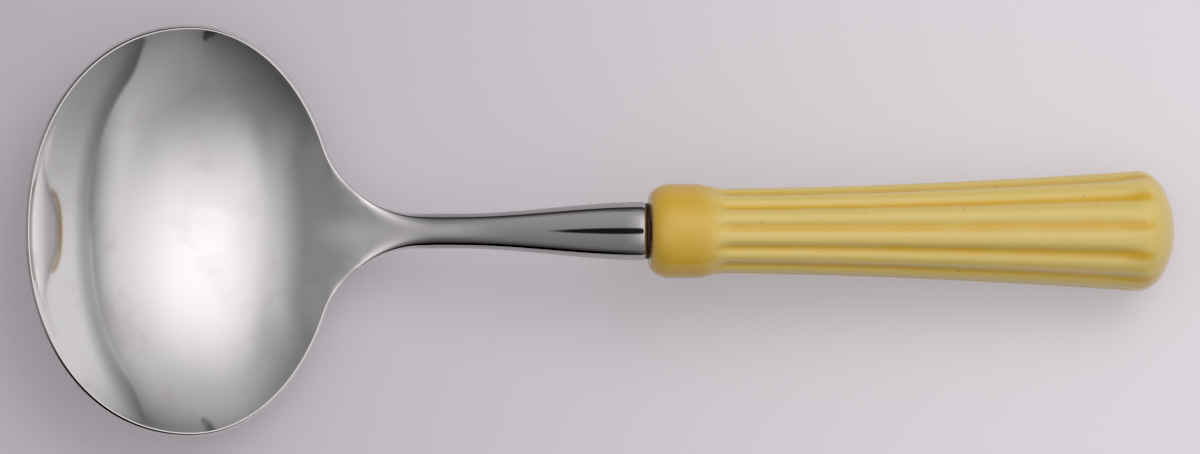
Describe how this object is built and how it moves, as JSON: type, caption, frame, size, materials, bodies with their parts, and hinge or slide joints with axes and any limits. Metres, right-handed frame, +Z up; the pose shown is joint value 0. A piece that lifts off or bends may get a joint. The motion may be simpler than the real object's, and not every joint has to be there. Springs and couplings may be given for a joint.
{
  "type": "gravy ladle",
  "caption": "Gravy ladle with a wide oval polished steel bowl on a short necked stem and a fluted, glazed ceramic handle cemented over a steel tang.",
  "frame": {"origin": "middle of the ladle's box, on the table that it lies on", "axes": "+X along the handle from the bowl to the butt, +Z up out of the bowl's mouth"},
  "size_m": [0.1842, 0.0662, 0.0249],
  "materials": {
    "polished_steel": "mirror polished stainless steel",
    "rod_steel": "drawn, unpolished",
    "adhesive": "cured dark red-brown epoxy",
    "cement": "cast, matt",
    "yellow_glaze": "glossy translucent yellow glaze"
  },
  "bodies": {
    "root": {"bowl": "polished_steel", "stem": "polished_steel", "tang": "rod_steel", "glue_ring": "adhesive", "cement_core": "cement", "handle": "yellow_glaze"}
  },
  "joints": []
}
